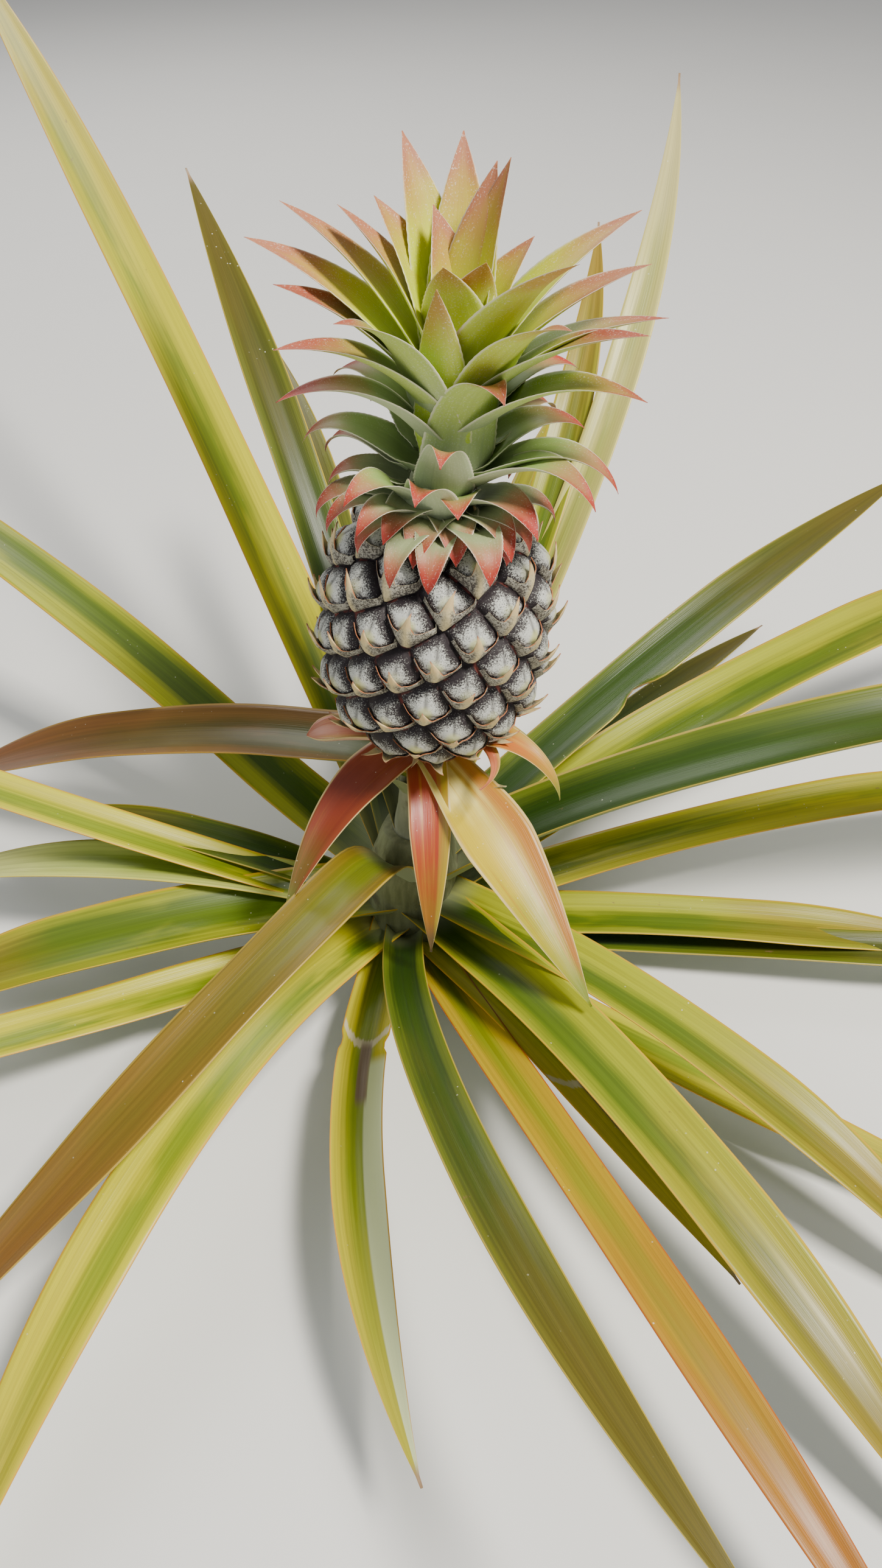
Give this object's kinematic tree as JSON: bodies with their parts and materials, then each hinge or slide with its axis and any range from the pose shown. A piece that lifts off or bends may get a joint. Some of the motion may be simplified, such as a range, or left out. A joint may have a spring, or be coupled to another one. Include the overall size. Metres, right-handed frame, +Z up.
{
  "type": "fruiting pineapple plant",
  "caption": "Pineapple plant rooted in the ground: a rosette of long channelled leaves around a short stem, with one fruit and its leafy crown held up on a stalk over red bracts.",
  "frame": {"origin": "middle of the flat cut under the stem, at ground level", "axes": "+Z up along the trunk, -Y towards the side that the picture was taken from, +X to that view's right"},
  "size_m": [1.0088, 1.1094, 0.4264],
  "materials": {
    "stem": "matt, fibrous, with dry leaf bases",
    "stalk": "matt grey-green with dark stains",
    "fruit_skin": "matt domed eyes with grey bloom, dark grooves and tan papery scales",
    "crown_leaf": "waxy grey-green bloom, red to salmon tips",
    "leaf": "waxy satin olive with gold margins",
    "bract": "satin red and orange to straw",
    "stalk_leaf": "satin pale green"
  },
  "bodies": {
    "root": {"stem": "stem", "peduncle": "stalk", "fruit": "fruit_skin", "crown": "crown_leaf", "leaf_back_left_tall": "leaf", "leaf_back_left_inner": "leaf", "leaf_left_upper": "leaf", "leaf_left_brown": "leaf", "leaf_left_thin": "leaf", "leaf_left_short": "leaf", "leaf_left_pale": "leaf", "leaf_left_middle": "leaf", "leaf_left_lower": "leaf", "leaf_front_left_arched": "leaf", "leaf_front_left_low": "leaf", "leaf_front_folded": "leaf", "leaf_front_right_inner": "leaf", "leaf_front_right_outer": "leaf", "leaf_front_right_scarred": "leaf", "leaf_right_broad": "leaf", "leaf_right_lower": "leaf", "leaf_right_upper": "leaf", "leaf_right_thin": "leaf", "leaf_right_middle": "leaf", "leaf_right_gold": "leaf", "leaf_right_dark": "leaf", "leaf_right_back": "leaf", "leaf_back_right_low": "leaf", "leaf_back_right_shaded": "leaf", "leaf_back_right_tall": "leaf", "leaf_back_right_inner": "leaf", "leaf_back_one": "leaf", "leaf_back_two": "leaf", "leaf_back_three": "leaf", "bract_front": "bract", "bract_left": "bract", "bract_right": "bract", "bract_far_right": "bract", "bract_far_left": "bract", "bract_back_left": "bract", "bract_back": "bract", "bract_back_right": "bract", "stalk_leaf_front": "stalk_leaf", "stalk_leaf_right": "stalk_leaf", "stalk_leaf_back": "stalk_leaf"}
  },
  "joints": []
}
